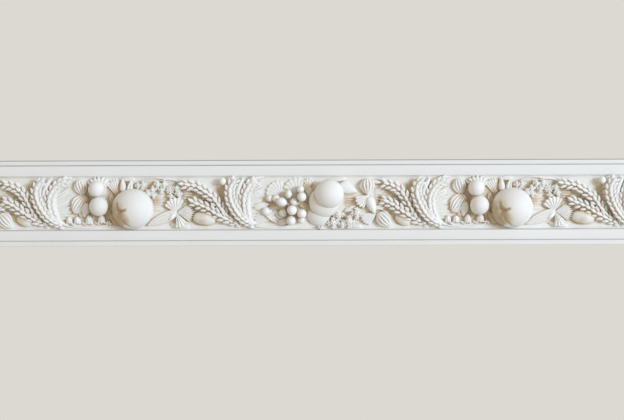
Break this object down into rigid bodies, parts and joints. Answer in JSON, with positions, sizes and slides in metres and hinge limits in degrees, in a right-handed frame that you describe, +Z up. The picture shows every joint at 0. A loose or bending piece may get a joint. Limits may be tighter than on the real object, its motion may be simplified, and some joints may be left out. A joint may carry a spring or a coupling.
{
  "type": "frieze moulding",
  "caption": "Straight length of cast plaster frieze moulding with plain edge bands and a sunk field carved in high relief with wheat ears, fruit, nuts and leaves, to be fixed flat.",
  "frame": {"origin": "centre of the flat back, where the moulding rests on the wall", "axes": "+X along the run, +Z up the wall, -Y out of the wall towards the viewer"},
  "size_m": [1, 0.049, 0.136],
  "materials": {
    "painted_plaster": "matt white paint on cast plaster, with warm dust left in the recesses"
  },
  "bodies": {
    "root": {"frieze_moulding": "painted_plaster"}
  },
  "joints": []
}
